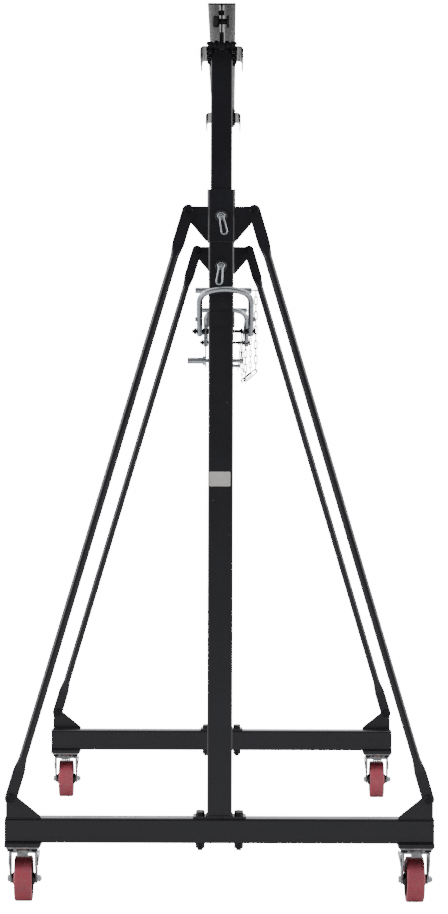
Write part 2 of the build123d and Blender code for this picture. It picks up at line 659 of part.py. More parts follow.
def wheel_core():
    """Cast centre: rim, web and hub, bored for the axle."""
    rim_half = WHEEL_WIDTH / 2 - CORE_RIM_INSET
    rim_outer = WHEEL_DIAMETER - 2 * TREAD_THICKNESS
    hub_half = FORK_GAP / 2 - HUB_END_GAP
    rim = bar_x(rim_outer, -rim_half, rim_half)
    rim -= bar_x(rim_outer - 2 * CORE_RIM, -rim_half - 1, rim_half + 1)
    web = bar_x(rim_outer - CORE_RIM, -CORE_WEB / 2, CORE_WEB / 2)
    hub = bar_x(HUB_DIAMETER, -hub_half, hub_half)
    hub = chamfer(hub.edges(), HUB_DIAMETER / 2 * 0.3)
    core = rim + web + hub - bar_x(AXLE_DIAMETER + 2 * RUNNING_GAP, -hub_half - 1, hub_half + 1)
    return Pos(0, CASTER_TRAIL, WHEEL_DIAMETER / 2) * core


def brake_pedal():
    """Two side arms outside the fork, joined behind the wheel by the tread plate."""
    inner = FORK_GAP / 2 + FORK_PLATE + PEDAL_ARM_GAP
    outer = inner + PEDAL_ARM_THICKNESS
    back = PEDAL_PIVOT_Y + PEDAL_REACH
    rise = PEDAL_PIVOT_Z + PEDAL_RISE
    half = PEDAL_ARM_HEIGHT / 2
    arm = make_face(Polyline(
        (PEDAL_PIVOT_Y, PEDAL_PIVOT_Z + half), (PEDAL_PIVOT_Y, PEDAL_PIVOT_Z - half),
        (back, rise - half), (back, rise), (back - PEDAL_PLATE_LENGTH, rise + half), close=True,
    ))
    arm += Pos(PEDAL_PIVOT_Y, PEDAL_PIVOT_Z) * Circle(PEDAL_EYE_RADIUS)
    side = Pos(inner, 0, 0) * extrude(Plane.YZ * arm, amount=PEDAL_ARM_THICKNESS)
    pin = bar_x(PEDAL_PIN_DIAMETER, FORK_GAP / 2, outer)
    side += Pos(0, PEDAL_PIVOT_Y, PEDAL_PIVOT_Z) * pin
    sides = on_both_sides([side])
    tread = block((-outer, outer), (back - PEDAL_PLATE_LENGTH, back), (rise - PEDAL_PLATE_THICKNESS, rise))
    return sides[0] + sides[1] + tread


# ---- head ----
def saddle():
    """Inverted channel under the beam, mostly inboard of the post."""
    half = SADDLE_WIDTH / 2
    top = SADDLE_UNDERSIDE + SADDLE_THICKNESS
    bottom = top - SADDLE_HEIGHT
    wall = SADDLE_THICKNESS
    outer = make_face(Polyline((-half, bottom), (half, bottom), (half, top), (-half, top), close=True))
    outer = fillet(outer.vertices().group_by(Axis.Y)[-1], SADDLE_CORNER)
    inner = make_face(Polyline(
        (-half + wall, bottom - 1), (half - wall, bottom - 1),
        (half - wall, top - wall), (-half + wall, top - wall), close=True,
    ))
    inner = fillet(inner.vertices().group_by(Axis.Y)[-1], SADDLE_CORNER - wall)
    channel = Rot(90, 0, 0) * extrude(outer - inner, amount=-(SADDLE_OUTBOARD + SADDLE_INBOARD))
    channel = Pos(0, -SADDLE_OUTBOARD, 0) * channel
    for x, y, bolt in head_bolt_places():
        channel -= Pos(x, y, 0) * rod(bolt[0] + 2 * BOLT_HOLE_GAP, SADDLE_UNDERSIDE - 1, top + 1)
    return channel


def head_bolt_places():
    """Places of the bolts that hold the beam to one saddle, with their sizes."""
    places = []
    for row in range(CLAMP_BOLT_ROWS):
        y = row * CLAMP_BOLT_PITCH - CLAMP_BOLT_FIRST
        places += [(side * CLAMP_BOLT_X, y, M10) for side in (-1, 1)]
    places += [(side * CLIP_BOLT_X, -CLAMP_BOLT_FIRST, M8) for side in (-1, 1)]
    return places


def i_beam():
    """Rolled I-section with filleted roots and the bolt holes of both saddles and both stops."""
    flange = Rectangle(BEAM_WIDTH, BEAM_FLANGE)
    centre = (BEAM_DEPTH - BEAM_FLANGE) / 2
    section = Rectangle(BEAM_WEB, BEAM_DEPTH) + Pos(0, centre) * flange + Pos(0, -centre) * flange
    roots = [v for v in section.vertices() if abs(abs(v.X) - BEAM_WEB / 2) < 0.01]
    section = fillet(roots, BEAM_FILLET)
    beam = Rot(90, 0, 0) * extrude(section, amount=BEAM_LENGTH / 2, both=True)
    beam = Pos(0, 0, BEAM_BOTTOM + BEAM_DEPTH / 2) * beam
    holes = []
    for x, y, bolt in head_bolt_places():
        hole = rod(bolt[0] + 2 * BOLT_HOLE_GAP, BEAM_BOTTOM - 1, BEAM_BOTTOM + BEAM_FLANGE + 1)
        holes.append(Pos(x, y, 0) * hole)
    for height, bolt in ((STOP_HEIGHT, M12), (SMALL_BOLT_HEIGHT, M8)):
        hole = bar_x(bolt[0] + 2 * BOLT_HOLE_GAP, -BEAM_WEB, BEAM_WEB)
        holes.append(Pos(0, stop_y(), BEAM_BOTTOM + height) * hole)
    return beam - at_both_ends(holes)


def stop_y():
    """An end stop's place along Y in its end's own frame."""
    return END_Y - BEAM_LENGTH / 2 + STOP_SETBACK


def web_clip():
    """Angle on the +X side that ties the web to the saddle, its heel bent clear of the beam's root."""
    face = BEAM_WEB / 2
    floor = BEAM_BOTTOM + BEAM_FLANGE
    middle = -CLAMP_BOLT_FIRST
    bend = BEAM_FILLET + SIDE_GAP
    outline = make_face(Polyline(
        (face, floor), (face + CLIP_WIDTH, floor), (face + CLIP_WIDTH, floor + CLIP_THICKNESS),
        (face + CLIP_THICKNESS, floor + CLIP_THICKNESS), (face + CLIP_THICKNESS, floor + CLIP_HEIGHT),
        (face, floor + CLIP_HEIGHT), close=True,
    ))
    corners = outline.vertices().sort_by(lambda corner: corner.X + corner.Y)
    outline = fillet(corners[0], bend)
    inner = outline.vertices().sort_by_distance((face + CLIP_THICKNESS, floor + CLIP_THICKNESS))[0]
    outline = fillet(inner, bend - CLIP_THICKNESS)
    clip = Pos(0, middle, 0) * Rot(90, 0, 0) * extrude(outline, amount=CLIP_LENGTH / 2, both=True)
    hole = rod(M8[0] + 2 * BOLT_HOLE_GAP, floor - 1, floor + CLIP_HEIGHT)
    return clip - Pos(CLIP_BOLT_X, middle, 0) * hole


def clamp_bolts():
    """Bolts with nuts that hold the beam on one saddle."""
    sets = []
    for x, y, bolt in head_bolt_places():
        clip = CLIP_THICKNESS if bolt is M8 else 0
        top = BEAM_BOTTOM + BEAM_FLANGE + clip
        sets += placed(Pos(x, y, top), bolt_set(bolt, BEAM_FLANGE + SADDLE_THICKNESS + clip))
    return sets


def stop_bumpers():
    """Rubber bumpers of one end stop: a knob on one side of the web and a disc on the other."""
    left = -BEAM_WEB / 2 - KNOB_STAND
    knob = fillet(bar_x(KNOB_DIAMETER, left - KNOB_LENGTH, left).edges(), KNOB_ROUND)
    right = BEAM_WEB / 2 + DISC_STAND
    disc = fillet(bar_x(DISC_DIAMETER, right, right + DISC_THICKNESS).edges(), DISC_ROUND)
    bore = bar_x(M12[0], left - KNOB_LENGTH / 2, right + DISC_THICKNESS / 2)
    return placed(Pos(0, stop_y(), BEAM_BOTTOM + STOP_HEIGHT), [knob - bore, disc - bore])


def stop_bolts():
    """Stud with spacers through the web for the bumpers, and the small bolt above it."""
    face = BEAM_WEB / 2
    stud = bar_x(M12[0], -face - KNOB_STAND - KNOB_LENGTH / 2, face + DISC_STAND + DISC_THICKNESS / 2)
    left = bar_x(STOP_SPACER_DIAMETER, -face - KNOB_STAND, -face)
    right = bar_x(STOP_SPACER_DIAMETER, face, face + DISC_STAND)
    stop = Pos(0, stop_y(), BEAM_BOTTOM + STOP_HEIGHT) * (stud + left + right)
    screw = Pos(face, 0, 0) * Rot(0, 90, 0) * bolt_down(M8, BEAM_WEB + M8[3] + BOLT_TAIL / 3)
    nut = Pos(-face, 0, 0) * Rot(0, 90, 0) * nut_below(M8, 0)
    return [stop] + placed(Pos(0, stop_y(), BEAM_BOTTOM + SMALL_BOLT_HEIGHT), [screw, nut])


# ---- lift unit, with its pivot at z = 0 and the post's centre at x = y = 0 ----
def lift_bracket():
    """Band round the post with a spine behind it that carries the cross shafts in lugs."""
    side = OUTER_SIDE + 2 * BAND_WALL
    section = RectangleRounded(side, side, OUTER_CORNER + BAND_WALL)
    section -= RectangleRounded(OUTER_SIDE, OUTER_SIDE, OUTER_CORNER)
    band = Pos(0, 0, BAND_BOTTOM) * extrude(section, amount=BAND_HEIGHT)
    back = side / 2
    half = SPINE_WIDTH / 2
    span = (-CRANK_DROP - SPINE_MARGIN, TOP_TUBE_RISE + SPINE_MARGIN)
    bracket = band + block((-half, half), (back, back + SPINE_THICKNESS), span)
    shafts = (
        (0, LIFT_AXIS_Y, M10[0] + 2 * RUNNING_GAP),
        (-CRANK_DROP, LIFT_AXIS_Y, CRANK_DIAMETER + 2 * RUNNING_GAP),
        (TOP_TUBE_RISE, TOP_TUBE_Y, TOP_TUBE_DIAMETER),
    )
    for height, y, bore in shafts:
        lug = Pos(0, y, height) * bar_x(2 * LUG_RADIUS, half - LUG_THICKNESS, half)
        lug += block((half - LUG_THICKNESS, half), (back, y), (height - LUG_RADIUS, height + LUG_RADIUS))
        lug -= Pos(0, y, height) * bar_x(bore, 0, SPINE_WIDTH)
        for piece in on_both_sides([lug]):
            bracket += piece
    return bracket


def lift_plate_blank():
    """Side plate with rounded ends, centred on x = 0."""
    foot = -CRANK_DROP
    top = PLATE_TOP - PLATE_WIDTH / 2
    outline = Pos(LIFT_AXIS_Y, (foot + top) / 2) * Rectangle(PLATE_WIDTH, top - foot)
    outline += Pos(LIFT_AXIS_Y, foot) * Circle(PLATE_WIDTH / 2)
    outline += Pos(LIFT_AXIS_Y, top) * Circle(PLATE_WIDTH / 2)
    return extrude(Plane.YZ * outline, amount=PLATE_THICKNESS / 2, both=True)


def lift_side_plates():
    left = Pos(LEFT_PLATE_X, 0, 0) * lift_plate_blank()
    right = Pos(RIGHT_PLATE_X, 0, 0) * Rot(0, RIGHT_PLATE_TILT, 0) * lift_plate_blank()
    right -= Pos(0, CHAIN_Y, -SHORT_STRAND_DROP) * bar_x(STUD_DIAMETER, 0, 200)
    plates = []
    for plate in (left, right):
        plate -= Pos(0, LIFT_AXIS_Y, 0) * bar_x(M10[0] + 2 * BOLT_HOLE_GAP, -200, 200)
        plate -= Pos(0, LIFT_AXIS_Y, -CRANK_DROP) * bar_x(CRANK_DIAMETER + 2 * RUNNING_GAP, -200, 200)
        plates.append(plate)
    return plates


def spacer(start, stop):
    ring = bar_x(SPACER_DIAMETER, start, stop) - bar_x(M10[0], start - 1, stop + 1)
    return Pos(0, LIFT_AXIS_Y, 0) * ring


def lift_bolts():
    """Pivot bolt with its nut and spacers, and the stud that holds the chain's short end."""
    radius = BAIL_DIAMETER / 2
    half = PLATE_THICKNESS / 2
    swing = SPACER_DIAMETER / 2 * tan(radians(RIGHT_PLATE_TILT)) + half + SIDE_GAP
    left_nut = BAIL_LEFT_X - radius - SIDE_GAP
    right_head = BAIL_RIGHT_X + radius + SIDE_GAP
    screw = bolt_down(M10, right_head - left_nut + M10[3] + BOLT_TAIL)
    screw = Pos(right_head, 0, 0) * Rot(0, 90, 0) * screw
    nut = Pos(left_nut, 0, 0) * Rot(0, 90, 0) * nut_below(M10, 0)
    pieces = placed(Pos(0, LIFT_AXIS_Y, 0), [screw, nut])
    pieces.append(spacer(BAIL_LEFT_X + radius + SIDE_GAP, LEFT_PLATE_X - half))
    pieces.append(spacer(LEFT_PLATE_X + half, -SPINE_WIDTH / 2))
    pieces.append(spacer(RIGHT_PLATE_X - swing - 6.5, RIGHT_PLATE_X - swing))
    pieces.append(spacer(RIGHT_PLATE_X + swing, BAIL_RIGHT_X - radius - SIDE_GAP))
    drop = SHORT_STRAND_DROP
    plate_x = RIGHT_PLATE_X - drop * tan(radians(RIGHT_PLATE_TILT))
    stud = bar_x(STUD_DIAMETER, plate_x - PLATE_THICKNESS, SHORT_STRAND_X + LINK_WIRE * 2)
    pieces.append(Pos(0, CHAIN_Y, -drop) * stud)
    return pieces


def lift_cross_tube():
    """Tube across the top of the spine, with the stud that holds the chain's long end."""
    tube = bar_x(TOP_TUBE_DIAMETER, TOP_TUBE_LEFT, TOP_TUBE_RIGHT)
    tube -= bar_x(TOP_TUBE_BORE, TOP_TUBE_LEFT - 1, TOP_TUBE_RIGHT - TOP_TUBE_BORE)
    tube += bar_x(STUD_DIAMETER, TOP_TUBE_RIGHT, LONG_STRAND_X + LINK_WIRE * 2)
    return Pos(0, TOP_TUBE_Y, TOP_TUBE_RISE) * tube


def bail_lean():
    """Turn at which the crown just clears the front corners of the post, in radians."""
    reach = OUTER_SIDE / 2 + abs(BAIL_LEFT_X + BAIL_RIGHT_X) / 2
    drop = BAIL_CROWN_RADIUS - sqrt(BAIL_CROWN_RADIUS ** 2 - reach ** 2)
    lean = atan2(BAIL_LEAN_RUN, BAIL_RISE)
    for _ in range(LEAN_PASSES):
        lean = atan2(BAIL_LEAN_RUN + drop * sin(lean), BAIL_RISE)
    return lean


def bail():
    """Round bar bent over the front of the post, with a screw in each leg, hinged on the pivot bolt."""
    middle = (BAIL_LEFT_X + BAIL_RIGHT_X) / 2
    slope = radians(BAIL_CROWN_SLOPE)
    crown = BAIL_RISE / cos(bail_lean()) + BAIL_CROWN_RADIUS * (1 / cos(slope) - 1)
    shoulder = crown - (BAIL_RIGHT_X - BAIL_LEFT_X) / 2 * tan(slope)
    path = Plane.XZ * FilletPolyline(
        (BAIL_LEFT_X, -BAIL_TAIL), (BAIL_LEFT_X, shoulder), (middle, crown),
        (BAIL_RIGHT_X, shoulder), (BAIL_RIGHT_X, -BAIL_TAIL),
        radius=[BAIL_SHOULDER_RADIUS, BAIL_CROWN_RADIUS, BAIL_SHOULDER_RADIUS],
    )
    hoop = bent_wire(path, BAIL_DIAMETER)
    hoop -= bar_x(M10[0] + 2 * RUNNING_GAP, -200, 200)
    hoop -= Pos(0, 0, BAIL_SCREW_REACH) * bar_x(M8[0], -200, 200)
    half = BAIL_DIAMETER / 2
    pieces = [hoop]
    for x, turn in ((BAIL_LEFT_X, -90), (BAIL_RIGHT_X, 90)):
        outwards = Pos(x, 0, BAIL_SCREW_REACH) * Rot(0, turn, 0) * Pos(0, 0, half)
        pieces.append(outwards * bolt_down(M8, BAIL_DIAMETER))
    return placed(Pos(0, LIFT_AXIS_Y, 0) * Rot(degrees(bail_lean()), 0, 0), pieces)


def crank_shaft(with_socket):
    """Cross shaft in the lower lugs and side plates, with or without the crank's socket."""
    half = PLATE_THICKNESS / 2
    collar_right = LEFT_PLATE_X - half - SIDE_GAP
    collar_left = collar_right - CRANK_COLLAR_LENGTH
    swing = CRANK_END_DIAMETER / 2 * tan(radians(RIGHT_PLATE_TILT)) + half + 2 * SIDE_GAP
    end_left = RIGHT_PLATE_FOOT_X + swing
    end_right = end_left + CRANK_END_LENGTH
    shaft = bar_x(CRANK_DIAMETER, collar_left, end_right)
    shaft += bar_x(CRANK_COLLAR_DIAMETER, collar_left, collar_right)
    shaft += bar_x(CRANK_END_DIAMETER, end_left, end_right)
    if with_socket:
        socket = bar_x(SOCKET_DIAMETER, collar_left - SOCKET_LENGTH, collar_left)
        shaft += chamfer(socket.edges().sort_by(Axis.X)[0], 1)
    return Pos(0, LIFT_AXIS_Y, -CRANK_DROP) * shaft


# ---- chain ----
def chain_link(length, width, wire):
    """Oval link in the XZ plane, centred on the origin."""
    half = (width - wire) / 2
    straight = (length - width) / 2
    path = Plane.XZ * FilletPolyline(
        (-half, straight + half), (half, straight + half), (half, -straight - half), (-half, -straight - half),
        radius=half * 0.98, close=True,
    )
    return bent_wire(path, wire)


def chain_strand(x, top, count, link):
    """Links that hang from a stud whose axis is at a height, and where the last one's end wire is."""
    pitch = LINK_LENGTH - 2 * LINK_WIRE - LINK_SLACK
    first = top + (STUD_DIAMETER + LINK_SLACK) / 2 + LINK_WIRE - LINK_LENGTH / 2
    links = []
    for index in range(count):
        turn = 90 if index % 2 == 0 else 0
        links.append(Pos(x, CHAIN_Y, first - index * pitch) * Rot(0, 0, turn) * link)
    end_wire = first - (count - 1) * pitch - (LINK_LENGTH - LINK_WIRE) / 2
    return links, (x, end_wire)


def snap_link(upper, lower):
    """Oval ring round the end wires of two hanging links, each given by its x and z."""
    run = upper[0] - lower[0]
    rise = upper[1] - lower[1]
    length = hypot(run, rise) + LINK_WIRE + LINK_SLACK + 2 * SNAP_WIRE
    middle = Pos((upper[0] + lower[0]) / 2, CHAIN_Y, (upper[1] + lower[1]) / 2)
    return middle * Rot(0, degrees(atan2(run, rise)), 0) * chain_link(length, SNAP_WIDTH, SNAP_WIRE)


def lift_chain():
    """Safety chain: a long strand, a short strand and the snap link that closes the loop."""
    link = chain_link(LINK_LENGTH, LINK_WIDTH, LINK_WIRE)
    long_links, long_end = chain_strand(LONG_STRAND_X, TOP_TUBE_RISE, LONG_STRAND_LINKS, link)
    short_links, short_end = chain_strand(SHORT_STRAND_X, -SHORT_STRAND_DROP, SHORT_STRAND_LINKS, link)
    return long_links + short_links + [snap_link(long_end, short_end)]


# ---- assembly ----
def caster_stations():
    """Name, place and turn of each caster."""
    names = ("front_left", "front_right", "rear_left", "rear_right")
    places = [(x, y) for y in (-END_Y, END_Y) for x in (-CASTER_X, CASTER_X)]
    return [(n, Pos(x, y, 0) * Rot(0, 0, turn)) for n, (x, y), turn in zip(names, places, CASTER_YAWS)]


def pin_stations():
    """Name, place and loop lean of each lock pin, as it stands with its axis at the origin."""
    stations = []
    for end_name, end in (("front", FRONT_END), ("rear", REAR_SAME_WAY)):
        for level, height, lean in zip(("upper", "lower"), pin_heights(), LOOP_LEANS):
            stations.append((f"{end_name}_{level}", end * Pos(0, 0, height), lean))
    return stations


def build_stand():
    """Everything that stands still: frames, posts, caster plates and the fixed lift unit pieces."""
    caster_places = [place for _, place in caster_stations()]
    straight_places = [Pos(place.position.X, place.position.Y, 0) for place in caster_places]
    plate_bottom = CASTER_HEIGHT - TOP_PLATE_THICKNESS
    nodes = {
        "base_tubes": at_both_ends([base_tube()]),
        "tube_end_caps": at_both_ends(on_both_sides([tube_end_cap()])),
        "base_gussets": at_both_ends(on_both_sides([base_gusset()])),
        "post_feet": at_both_ends([post_foot()]),
        "foot_bolts": at_both_ends(foot_bolts()),
        "front_outer_post": placed(FRONT_END, [outer_post()]),
        "rear_outer_post": placed(REAR_END, [outer_post()]),
        "collars": at_both_ends([collar()]),
        "collar_gussets": at_both_ends(on_both_sides([collar_gusset()])),
        "braces": at_both_ends(on_both_sides([brace()])),
        "brace_bolts": at_both_ends(on_both_sides(brace_bolts())),
        "pin_bushes": placed(FRONT_END, pin_bushes()) + placed(REAR_SAME_WAY, pin_bushes()),
        "caster_pads": [p * caster_plate(PAD_SIDE, PAD_BOTTOM, PAD_THICKNESS) for p in straight_places],
        "caster_top_plates": [
            p * caster_plate(TOP_PLATE_SIDE, plate_bottom, TOP_PLATE_THICKNESS) for p in straight_places
        ],
        "swivel_races": [p * swivel_race() for p in straight_places],
        "caster_bolts": [p * screw for p in straight_places for screw in caster_bolts()],
        "lift_brackets": [p * lift_bracket() for p in UNIT_PLACES],
        "lift_side_plates": [p * plate for p in UNIT_PLACES for plate in lift_side_plates()],
        "lift_bolts": [p * piece for p in UNIT_PLACES for piece in lift_bolts()],
        "lift_cross_tubes": [p * lift_cross_tube() for p in UNIT_PLACES],
        "lift_chains": [p * link for p in UNIT_PLACES for link in lift_chain()],
    }
    return nodes


def build_head():
    """What rises with the beam."""
    return {
        "inner_posts": at_both_ends([inner_post()]),
        "saddles": at_both_ends([saddle()]),
        "i_beam": [i_beam()],
        "web_clips": at_both_ends(on_both_sides([web_clip()])),
        "clamp_bolts": at_both_ends(clamp_bolts()),
        "end_stop_bumpers": at_both_ends(stop_bumpers()),
        "end_stop_bolts": at_both_ends(stop_bolts()),
    }


def build_pins():
    nodes = {}
    for name, place, lean in pin_stations():
        nodes[f"{name}_lock_pin"] = [place * Rot(0, lean, 0) * lock_pin()]
        hinge = Rot(0, lean, 0) * Pos(0, loop_plane(), 0)
        nodes[f"{name}_pin_loop"] = [place * hinge * pin_loop()]
    return nodes


def build_casters():
    nodes = {}
    pieces = {
        "fork": [caster_fork()],
        "axle": caster_axle(),
        "wheel_core": [wheel_core()],
        "wheel_tread": [wheel_tread()],
        "brake_pedal": [brake_pedal()],
    }
    for name, place in caster_stations():
        for piece, solids in pieces.items():
            nodes[f"{name}_{piece}"] = placed(place, solids)
    return nodes


def build_lift_units():
    nodes = {}
    for name, place, with_socket in zip(("front", "rear"), UNIT_PLACES, (True, False)):
        nodes[f"{name}_bail"] = placed(place, bail())
        nodes[f"{name}_crank_shaft"] = [place * crank_shaft(with_socket)]
    return nodes


def write_nodes(nodes):
    """One STEP file per node, holding the node's separate solids."""
    os.makedirs("parts", exist_ok=True)
    for name, shapes in nodes.items():
        solids = [solid for shape in shapes for solid in shape.solids()]
        shape = solids[0] if len(solids) == 1 else Compound(children=solids)
        export_step(shape, f"parts/{name}.step")
        print(f"{name}: {len(shapes)} pieces, {len(solids)} solids")


write_nodes({**build_stand(), **build_head(), **build_pins(), **build_casters(), **build_lift_units()})
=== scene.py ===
import logging
from dataclasses import dataclass, field
from enum import Enum
from math import pi, radians

import bpy
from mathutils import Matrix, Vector


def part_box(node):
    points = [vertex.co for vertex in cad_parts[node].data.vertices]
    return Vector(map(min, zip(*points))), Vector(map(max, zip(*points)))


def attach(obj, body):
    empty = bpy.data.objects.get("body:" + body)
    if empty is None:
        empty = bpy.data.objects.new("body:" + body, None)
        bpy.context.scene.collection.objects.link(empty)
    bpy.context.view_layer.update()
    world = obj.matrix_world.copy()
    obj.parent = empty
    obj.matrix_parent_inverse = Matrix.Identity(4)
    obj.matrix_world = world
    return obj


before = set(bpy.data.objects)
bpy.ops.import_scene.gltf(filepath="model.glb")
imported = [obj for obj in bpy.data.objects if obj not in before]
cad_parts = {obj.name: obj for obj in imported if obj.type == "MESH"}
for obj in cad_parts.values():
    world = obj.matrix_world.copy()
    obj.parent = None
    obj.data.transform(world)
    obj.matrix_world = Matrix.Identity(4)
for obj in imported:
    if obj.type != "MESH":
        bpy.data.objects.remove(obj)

log = logging.getLogger("gantry_crane")
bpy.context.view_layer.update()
MM = 0.001
SMOOTH_ANGLE = radians(40)


# ---------------------------------------------------------------------------
# Small helpers
# ---------------------------------------------------------------------------
def linear(hex_colour: str) -> tuple[float, float, float, float]:
    """Turns an sRGB hex colour into linear red, green, blue and alpha.

    Args:
        hex_colour: Six hex digits, with or without a leading hash.

    Returns:
        The linear colour with alpha 1.
    """
    digits = hex_colour.lstrip("#")
    channels = [int(digits[i:i + 2], 16) / 255 for i in (0, 2, 4)]
    red, green, blue = (c / 12.92 if c <= 0.04045 else ((c + 0.055) / 1.055) ** 2.4 for c in channels)
    return red, green, blue, 1.0


def add(tree: bpy.types.NodeTree, kind: str, inputs: dict | None = None, **settings) -> bpy.types.Node:
    """Adds a node with its settings, socket values and links.

    Args:
        tree: The node tree of a material or the world.
        kind: The node's type name without the "ShaderNode" in front.
        inputs: Socket name or index to a value, or to an output socket that is linked in.
        **settings: Attributes of the node, such as its operation.

    Returns:
        The new node.
    """
    made = tree.nodes.new("ShaderNode" + kind)
    for name, value in settings.items():
        setattr(made, name, value)
    for key, value in (inputs or {}).items():
        if isinstance(value, bpy.types.NodeSocket):
            tree.links.new(value, made.inputs[key])
        else:
            made.inputs[key].default_value = value
    return made


def select_only(*objects: bpy.types.Object) -> None:
    """Selects these objects and nothing else, the last of them active."""
    bpy.ops.object.select_all(action="DESELECT")
    for obj in objects:
        obj.select_set(True)
        bpy.context.view_layer.objects.active = obj


def settle(obj: bpy.types.Object) -> bpy.types.Object:
    """Puts an object's place and turn into its mesh, and turns its faces outwards."""
    select_only(obj)
    bpy.ops.object.transform_apply(location=True, rotation=True, scale=True)
    bpy.ops.object.mode_set(mode="EDIT")
    bpy.ops.mesh.select_all(action="SELECT")
    bpy.ops.mesh.remove_doubles(threshold=1e-6)
    bpy.ops.mesh.normals_make_consistent(inside=False)
    bpy.ops.object.mode_set(mode="OBJECT")
    return obj


def joined(name: str, objects: list[bpy.types.Object]) -> bpy.types.Object:
    """Joins several objects into one mesh.

    Args:
        name: The new piece's name.
        objects: What to join.

    Returns:
        The joined object.
    """
    select_only(*objects)
    bpy.ops.object.join()
    piece = bpy.context.view_layer.objects.active
    piece.name = name
    piece.data.name = name
    return piece


# ---------------------------------------------------------------------------
# Finishes
# ---------------------------------------------------------------------------
class Pattern(Enum):
    """How the fine marks of a finish lie."""

    EVEN = (1.0, 1.0, 1.0)
    ALONG_Y = (1.0, 0.08, 1.0)


@dataclass(frozen=True)
class Finish:
    """A surface finish: two colours that mottle, a grain with bump, rubbed edges and a few small chips.

    Sizes are real millimetres. The mottle is the slow colour drift, and the grain the fine texture.
    A lower chip level gives more chips.
    """

    name: str
    tint: str
    drift: str
    edge: str
    metallic: float = 0.0
    rough_low: float = 0.25
    rough_high: float = 0.4
    mottle_mm: float = 60.0
    grain_mm: float = 2.0
    bump_mm: float = 0.02
    edge_mm: float = 1.2
    edge_share: float = 0.3
    chip_mm: float = 14.0
    chip_level: float = 0.78
    chip_fade: float = 0.02
    chip_share: float = 0.6
    break_mm: float = 9.0
    pattern: Pattern = Pattern.EVEN
    scratch_mm: float = 0.0
    scratch_width: float = 0.04
    subsurface: float = 0.0

    def build(self) -> bpy.types.Material:
        """Makes the material of this finish."""
        material = bpy.data.materials.new(self.name)
        material.use_nodes = True
        tree = material.node_tree
        tree.nodes.clear()
        place = add(tree, "TexCoord").outputs["Object"]
        stretched = add(tree, "Mapping", {"Vector": place, "Scale": self.pattern.value}).outputs["Vector"]
        mottle = add(tree, "TexNoise", {"Vector": place, "Scale": 1 / (self.mottle_mm * MM), "Detail": 5.0,
                                        "Roughness": 0.55}).outputs["Fac"]
        grain = add(tree, "TexNoise", {"Vector": stretched, "Scale": 1 / (self.grain_mm * MM), "Detail": 3.0,
                                       "Roughness": 0.6}).outputs["Fac"]
        colour = self.colour(tree, mottle, place)
        wear = self.wear(tree, place)
        worn = add(tree, "Mix", {"Factor": wear, 6: colour, 7: linear(self.edge)}, data_type="RGBA")
        rough = self.roughness(tree, mottle, grain)
        height = self.height(tree, grain, stretched)
        bump = add(tree, "Bump", {"Height": height, "Distance": self.bump_mm * MM, "Strength": 1.0})
        shader = add(tree, "BsdfPrincipled", {
            "Base Color": worn.outputs[2], "Metallic": self.metallic, "Roughness": rough,
            "Normal": bump.outputs["Normal"],
            "Subsurface Weight": self.subsurface, "Subsurface Scale": 2 * MM,
        })
        add(tree, "OutputMaterial", {"Surface": shader.outputs["BSDF"]})
        return material

    def colour(self, tree: bpy.types.NodeTree, mottle: bpy.types.NodeSocket,
               place: bpy.types.NodeSocket) -> bpy.types.NodeSocket:
        """Colour that drifts slowly between the two tints.

        Args:
            tree: The material's node tree.
            mottle: The slow noise.
            place: Object coordinates, not used by this plain drift.

        Returns:
            The colour socket.
        """
        amount = add(tree, "MapRange", {"Value": mottle, "From Min": 0.35, "From Max": 0.68})
        return add(tree, "Mix", {"Factor": amount.outputs["Result"], 6: linear(self.tint), 7: linear(self.drift)},
                   data_type="RGBA").outputs[2]

    def wear(self, tree: bpy.types.NodeTree, place: bpy.types.NodeSocket) -> bpy.types.NodeSocket:
        """Mask of the edges that handling has rubbed, broken up by noise.

        Args:
            tree: The material's node tree.
            place: Object coordinates.

        Returns:
            A factor from 0 to the finish's edge share.
        """
        rounded = add(tree, "Bevel", {"Radius": self.edge_mm * MM}, samples=4).outputs["Normal"]
        plain = add(tree, "NewGeometry").outputs["Normal"]
        dot = add(tree, "VectorMath", {0: rounded, 1: plain}, operation="DOT_PRODUCT").outputs["Value"]
        edge = add(tree, "MapRange", {"Value": dot, "From Min": 0.97, "From Max": 0.75}).outputs["Result"]
        breaks = add(tree, "TexNoise", {"Vector": place, "Scale": 1 / (self.break_mm * MM), "Detail": 6.0}).outputs["Fac"]
        patch = add(tree, "MapRange", {"Value": breaks, "From Min": 0.45, "From Max": 0.65,
                                       "To Max": self.edge_share}).outputs["Result"]
        rubbed = add(tree, "Math", {0: edge, 1: patch}, operation="MULTIPLY").outputs["Value"]
        spots = add(tree, "TexNoise", {"Vector": place, "Scale": 1 / (self.chip_mm * MM),
                                       "Detail": 2.0}).outputs["Fac"]
        chips = add(tree, "MapRange", {"Value": spots, "From Min": self.chip_level,
                                       "From Max": self.chip_level + self.chip_fade,
                                       "To Max": self.chip_share}).outputs["Result"]
        return add(tree, "Math", {0: rubbed, 1: chips}, operation="MAXIMUM").outputs["Value"]

    def roughness(self, tree: bpy.types.NodeTree, mottle: bpy.types.NodeSocket,
                  grain: bpy.types.NodeSocket) -> bpy.types.NodeSocket:
        """Roughness that follows both noises.

        Args:
            tree: The material's node tree.
            mottle: The slow noise.
            grain: The fine noise.

        Returns:
            The roughness socket.
        """
        both = add(tree, "Math", {0: mottle, 1: grain}, operation="ADD").outputs["Value"]
        return add(tree, "MapRange", {"Value": both, "From Min": 0.75, "From Max": 1.25, "To Min": self.rough_low,
                                      "To Max": self.rough_high}).outputs["Result"]

